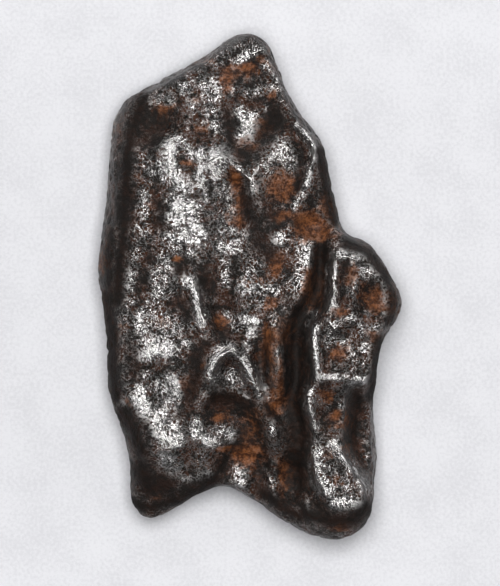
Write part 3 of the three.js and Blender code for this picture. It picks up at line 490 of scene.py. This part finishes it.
# A merged copy of the CAD lump, so that the CAD node's own mesh stays as it is
def copyLump():
    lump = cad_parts["meteorite"]
    skin = lump.copy()
    skin.data = lump.data.copy()
    skin.name = "ironSkin"
    for key in [key for key in skin.keys() if key.startswith("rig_")]:
        del skin[key]
    bpy.context.scene.collection.objects.link(skin)
    bpy.ops.object.select_all(action="DESELECT")
    skin.select_set(True)
    bpy.context.view_layer.objects.active = skin
    bpy.ops.object.mode_set(mode="EDIT")
    bpy.ops.mesh.select_all(action="SELECT")
    bpy.ops.mesh.remove_doubles(threshold=iron["weld"] * mm)
    bpy.ops.object.mode_set(mode="OBJECT")
    return skin


def applyModifier(piece, kind, settings):
    modifier = piece.modifiers.new(kind, kind)
    for name, value in settings.items():
        setattr(modifier, name, value)
    bpy.ops.object.modifier_apply(modifier=modifier.name)


def pointsOf(piece):
    points = np.empty(3 * len(piece.data.vertices))
    piece.data.vertices.foreach_get("co", points)
    return points.reshape(-1, 3) / mm


def normalsOf(piece):
    normals = np.empty(3 * len(piece.data.vertices))
    piece.data.vertices.foreach_get("normal", normals)
    return normals.reshape(-1, 3)


def setPoints(piece, points):
    piece.data.vertices.foreach_set("co", (points * mm).ravel())
    piece.data.update()


# Soft noise of the given size, each layer starting from its own place so that no two are alike
def ruffle(points, size, start=0.0):
    fading, narrowing = 1.0, 2.0
    scaled = (points / size + start).tolist()
    return np.array([noise.fractal(point, fading, narrowing, iron["octaves"]) for point in scaled])


# How far each point is from a path, and how far along the path its nearest place lies, from 0 to 1
def farFromPath(points, path):
    if len(path) == 1:
        path = path + [(path[0][0] + iron["speck"], path[0][1])]
    path = np.array(path)
    runs = path[1:] - path[:-1]
    lengths = np.linalg.norm(runs, axis=1)
    nearest = np.full(len(points), np.inf)
    along = np.zeros(len(points))
    passed = 0
    for start, run, length in zip(path, runs, lengths):
        share = np.clip((points - start) @ run / length ** 2, 0, 1)
        gap = np.linalg.norm(points - start - share[:, None] * run, axis=1)
        closer = gap < nearest
        nearest[closer] = gap[closer]
        along[closer] = (passed + share[closer] * length) / lengths.sum()
        passed += length
    return nearest, along


def crestLines(flat):
    height = np.zeros(len(flat))
    for _, path, width, rise in iron["crests"]:
        far, along = farFromPath(flat, path)
        taper = np.clip(np.minimum(along, 1 - along) * iron["crestTaper"], iron["crestEnds"], 1)
        crest = iron["crestRise"] * rise * taper * np.exp(-((far / width) ** iron["crestEdge"]))
        height = np.maximum(height, crest)
    return height


# How strongly a point is covered by a set of soft-edged dabs
def dabbed(flat, dabs):
    bare = np.ones(len(flat))
    for x, y, wide, tall, strength in dabs:
        out = ((flat[:, 0] - x) / wide) ** 2 + ((flat[:, 1] - y) / tall) ** 2
        bare *= 1 - strength * np.exp(-out)
    return 1 - bare


# How strongly a point is brushed: the strongest of the strokes that reach it
def brushed(flat, strokes, edge, everywhere=0.0):
    cover = np.full(len(flat), everywhere)
    for path, width, strength in strokes:
        far = farFromPath(flat, path)[0] / width / iron["brushReach"]
        cover = np.maximum(cover, strength * np.exp(-(far ** edge)))
    return cover


# Where each point lies on the upper face, nudged about so that no outline is ruled
def wandering(points, reach):
    sideways = ruffle(points, iron["wanderSize"])
    lengthways = ruffle(points, iron["wanderSize"], iron["wanderStart"])
    return points[:, :2] + np.stack([sideways, lengthways], axis=1) * reach


# 1 on the upper face, fading to 0 down the sides and underneath
def facingUp(points, normals):
    look = np.clip((normals[:, 2] - iron["upwardFrom"]) / iron["upwardFade"], 0, 1)
    return look * (points[:, 2] > iron["upperFrom"])


# How smooth the skin is: as the dabs say above, and evenly so down the sides
def smoothness(flat, upward):
    return np.maximum(dabbed(flat, iron["smooth"]) * upward, iron["flankSmooth"] * (1 - upward))


# Crinkles of the melted crust: the folds where a wandering noise crosses zero
def crinkle(points):
    return 1 - iron["crinkleFall"] * np.abs(ruffle(points, iron["crinkleSize"]))


# Layers of relief: the size of each, where its noise starts, and its height
def layered(points, layers):
    return sum(ruffle(points, size, start) * height for size, start, height in layers)


skin = copyLump()
applyModifier(skin, "SUBSURF", {"levels": 1, "render_levels": 1})
applyModifier(skin, "REMESH", {"mode": "VOXEL", "voxel_size": iron["voxel"] * mm})
applyModifier(skin, "SMOOTH", iron["settling"])
bpy.ops.object.shade_smooth()
print("skin points", len(skin.data.vertices))

points = pointsOf(skin)
normals = normalsOf(skin)
flat = wandering(points, iron["wander"])
upward = facingUp(points, normals)
rough = 1 - smoothness(flat, upward)
points[:, 2] += crestLines(flat) * upward
setPoints(skin, points)
normals = normalsOf(skin)
waves = layered(points, iron["waves"]) * (iron["leastWave"] + (1 - iron["leastWave"]) * rough)
crust = (crinkle(points) * iron["crinkleRise"] + layered(points, [iron["grit"]])) * rough
dents = np.clip(ruffle(points, iron["dentSize"], iron["dentStart"]), 0, iron["dentMost"])
dents = dents * iron["dentDepth"] * (1 - upward)
points += normals * (waves + crust - dents)[:, None]

# The highest crests are eased back so that the skin stays close to the solid's own top
proud = np.maximum(points[:, 2] - high[2] / mm, 0)
points[:, 2] += iron["proud"] * np.tanh(proud / iron["proud"]) - proud
points[:, 2] = np.maximum(points[:, 2], 0)
setPoints(skin, points)
print("skin sculpted")

fullCount = sum(len(face.vertices) - 2 for face in skin.data.polygons)
applyModifier(skin, "TRIANGULATE", {})
applyModifier(skin, "DECIMATE", {"ratio": min(1, iron["mostTriangles"] / fullCount)})
bpy.ops.object.shade_smooth()
print("skin triangles", len(skin.data.polygons))


def addMask(name, values):
    layer = skin.data.attributes.new(name, "FLOAT", "POINT")
    layer.data.foreach_set("value", np.clip(values, 0, 1).astype(np.float32))


# How far each point lies below the mean of the skin about it
def sunkness(points, normals, rounds):
    edges = np.empty(2 * len(skin.data.edges), dtype=np.int32)
    skin.data.edges.foreach_get("vertices", edges)
    first, second = edges.reshape(-1, 2).T
    count = np.bincount(first, minlength=len(points)) + np.bincount(second, minlength=len(points))
    mean = points.copy()
    for _ in range(rounds):
        total = np.zeros_like(mean)
        for axis in range(3):
            total[:, axis] = np.bincount(first, mean[second, axis], len(points))
            total[:, axis] += np.bincount(second, mean[first, axis], len(points))
        mean = total / count[:, None]
    return ((mean - points) * normals).sum(axis=1)


points = pointsOf(skin)
normals = normalsOf(skin)
upward = facingUp(points, normals)
addMask("flank", 1 - upward)
addMask("sunk", 0.5 + sunkness(points, normals, iron["sunkRounds"]) * iron["sunkGain"])
flat = wandering(points, iron["blotWander"])
addMask("smooth", smoothness(flat, upward))
addMask("rusty", dabbed(flat, iron["rusty"]) * (points[:, 2] > iron["rustFrom"]))
flat = wandering(points, iron["brushWander"])
# bare metal: partly real wear, partly painted highlight
addMask("highlightAndWear", brushed(flat, iron["highlightAndWearStrokes"], iron["brushEdge"], iron["highlightAndWearEverywhere"]) * upward)
# painted shade: the grooves, valleys and rim bands darkened
addMask("paintedShade", brushed(flat, iron["paintedShadeStrokes"], iron["paintedShadeEdge"]) * (points[:, 2] > iron["paintedShadeFrom"]))
# painted sheen on the outer rims
addMask("paintedSheen", brushed(flat, iron["paintedSheenStrokes"], iron["brushEdge"]))
print("masks ready")


# The iron's finish. Its noises lie about 0.5, and an edge is the pair of levels that a blend runs between.
ironFinish = {
    "crust": rgb(0.013, 0.0108, 0.0095),
    "brown": rgb(0.046, 0.019, 0.011),
    "brownFlecks": 0.5,         # how far the stains follow the flecks, and how far the rust's colour does
    "brownEdge": (0.45, 0.59),
    "rustDark": rgb(0.044, 0.017, 0.009),
    "rustBright": rgb(0.20, 0.072, 0.025),
    "brightFlecks": 0.7,
    "brightEdge": (0.42, 0.62),
    "metal": rgb(0.56, 0.55, 0.54),
    "metallicEdge": (0.0, 0.5),
    # the near black-brown of the painted shade
    "paintedShade": rgb(0.006, 0.0038, 0.0029),
    "ripple": 0.54 * mm,
    "fleck": 0.8 * mm,
    "blot": 2.6 * mm,
    "foldTop": 0.64,
    "foldFall": 2.0,
    "foldDepth": 0.36 * mm,
    "smoothing": 0.65,          # how much of the folds a smooth place loses
    "rustBlots": 1.2,
    "rustFlecks": 0.8,
    "rustEdge": (0.20, 0.85),
    "highlightAndWearGain": 0.364,          # how far the strokes bare the metal, partly real wear and partly painted highlight, and how much less of it a hollow gets: partly crust kept there, partly painted shade
    "hollowShade": 0.084,
    "tarnish": 0.24,
    "highlightAndWearFlecks": 0.45,
    "highlightAndWearBlots": 0.2,
    "highlightAndWearEdge": (0.35, 0.64),
    "flankShine": 0.05,
    # how much painted sheen the rim strokes add
    "paintedSheenShine": 0.2,
    "rustDulls": 0.8,
    # how far the painted shade darkens the colour and covers the rust
    "paintedShadeDarkens": 0.8,
    "paintedShadeOnRust": 0.5,
    "roughness": 0.20,
    "rustRough": 0.12,
    "flankRough": 0.12,
    # how much rougher the painted shade leaves the skin, so that it mirrors less
    "paintedShadeRough": 0.5,
    "specular": 0.1,
}


def makeIron():
    look = ironFinish
    material = bpy.data.materials.new("meteoriticIron")
    tree = ShaderTree(material)
    place = tree.add("ShaderNodeTexCoord", {}, {}, output="Object")
    smooth = tree.attribute("smooth")
    flank = tree.attribute("flank")
    paintedShade = tree.attribute("paintedShade")
    ripples = tree.noise(place, look["ripple"], detail=3, roughness=0.6)
    flecks = tree.noise(place, look["fleck"], detail=4, roughness=0.7)
    blots = tree.noise(place, look["blot"], detail=4, roughness=0.65)

    # Fine folds of the skin stand highest where the ripples cross their middle level
    folds = look["foldTop"] - abs(ripples - 0.5) * look["foldFall"]

    # Rust spreads raggedly from its dabs
    spread = (blots - 0.5) * look["rustBlots"] + (flecks - 0.5) * look["rustFlecks"]
    rust = tree.ease(tree.attribute("rusty") + spread, *look["rustEdge"])

    # Bare metal shows first on the folds under the strokes: partly real wear, partly painted highlight; the
    # hollows get less of it, partly crust kept there and partly painted shade
    strokeHighlightAndWear = tree.attribute("highlightAndWear") * look["highlightAndWearGain"] - (tree.attribute("sunk") - 0.5) * look["hollowShade"]
    spread = (flecks - 0.5) * look["highlightAndWearFlecks"] + (blots - 0.5) * look["highlightAndWearBlots"]
    highlightAndWear = tree.ease(folds + strokeHighlightAndWear - look["tarnish"] + spread, *look["highlightAndWearEdge"])
    shine = highlightAndWear * (1 - flank) + flank * look["flankShine"]
    shine = shine * (1 - rust * look["rustDulls"]) * (1 - paintedShade)
    # painted sheen: light grey reflections added along the outer rims
    shine = shine + tree.attribute("paintedSheen") * look["paintedSheenShine"]

    # From the crust outwards: brown stains, rust, painted shade and the bare metal, which is partly real
    # wear and partly painted highlight
    stain = blots * (1 - look["brownFlecks"]) + flecks * look["brownFlecks"]
    bright = flecks * look["brightFlecks"] + folds * (1 - look["brightFlecks"])
    rustColour = tree.blend(tree.ease(bright, *look["brightEdge"]), look["rustDark"], look["rustBright"])
    colour = tree.blend(tree.ease(stain, *look["brownEdge"]), look["crust"], look["brown"])
    # Painted shade: the grooves, valleys and rim bands go near black and lose their rust and shine
    colour = tree.blend(rust * (1 - paintedShade * look["paintedShadeOnRust"]), colour, rustColour)
    colour = tree.blend(paintedShade * look["paintedShadeDarkens"], colour, look["paintedShade"])
    # the bare metal's grey: partly real wear, partly painted highlight
    colour = tree.blend(shine, colour, look["metal"])

    roughness = rust * look["rustRough"] + flank * look["flankRough"] + paintedShade * look["paintedShadeRough"]
    bump = tree.add("ShaderNodeBump", {}, {
        "Height": folds * (1 - smooth * look["smoothing"]),
        "Strength": 1.0,
        "Distance": look["foldDepth"],
    })
    shader = tree.add("ShaderNodeBsdfPrincipled", {}, {
        "Base Color": colour,
        "Metallic": tree.ease(shine, *look["metallicEdge"]),
        "Roughness": look["roughness"] + roughness,
        "Specular IOR Level": look["specular"],
        "Normal": bump,
    })
    tree.add("ShaderNodeOutputMaterial", {}, {"Surface": shader})
    return material


skin.data.materials.clear()
skin.data.materials.append(makeIron())
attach(skin, "root")
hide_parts("meteorite")
print("skin finished")
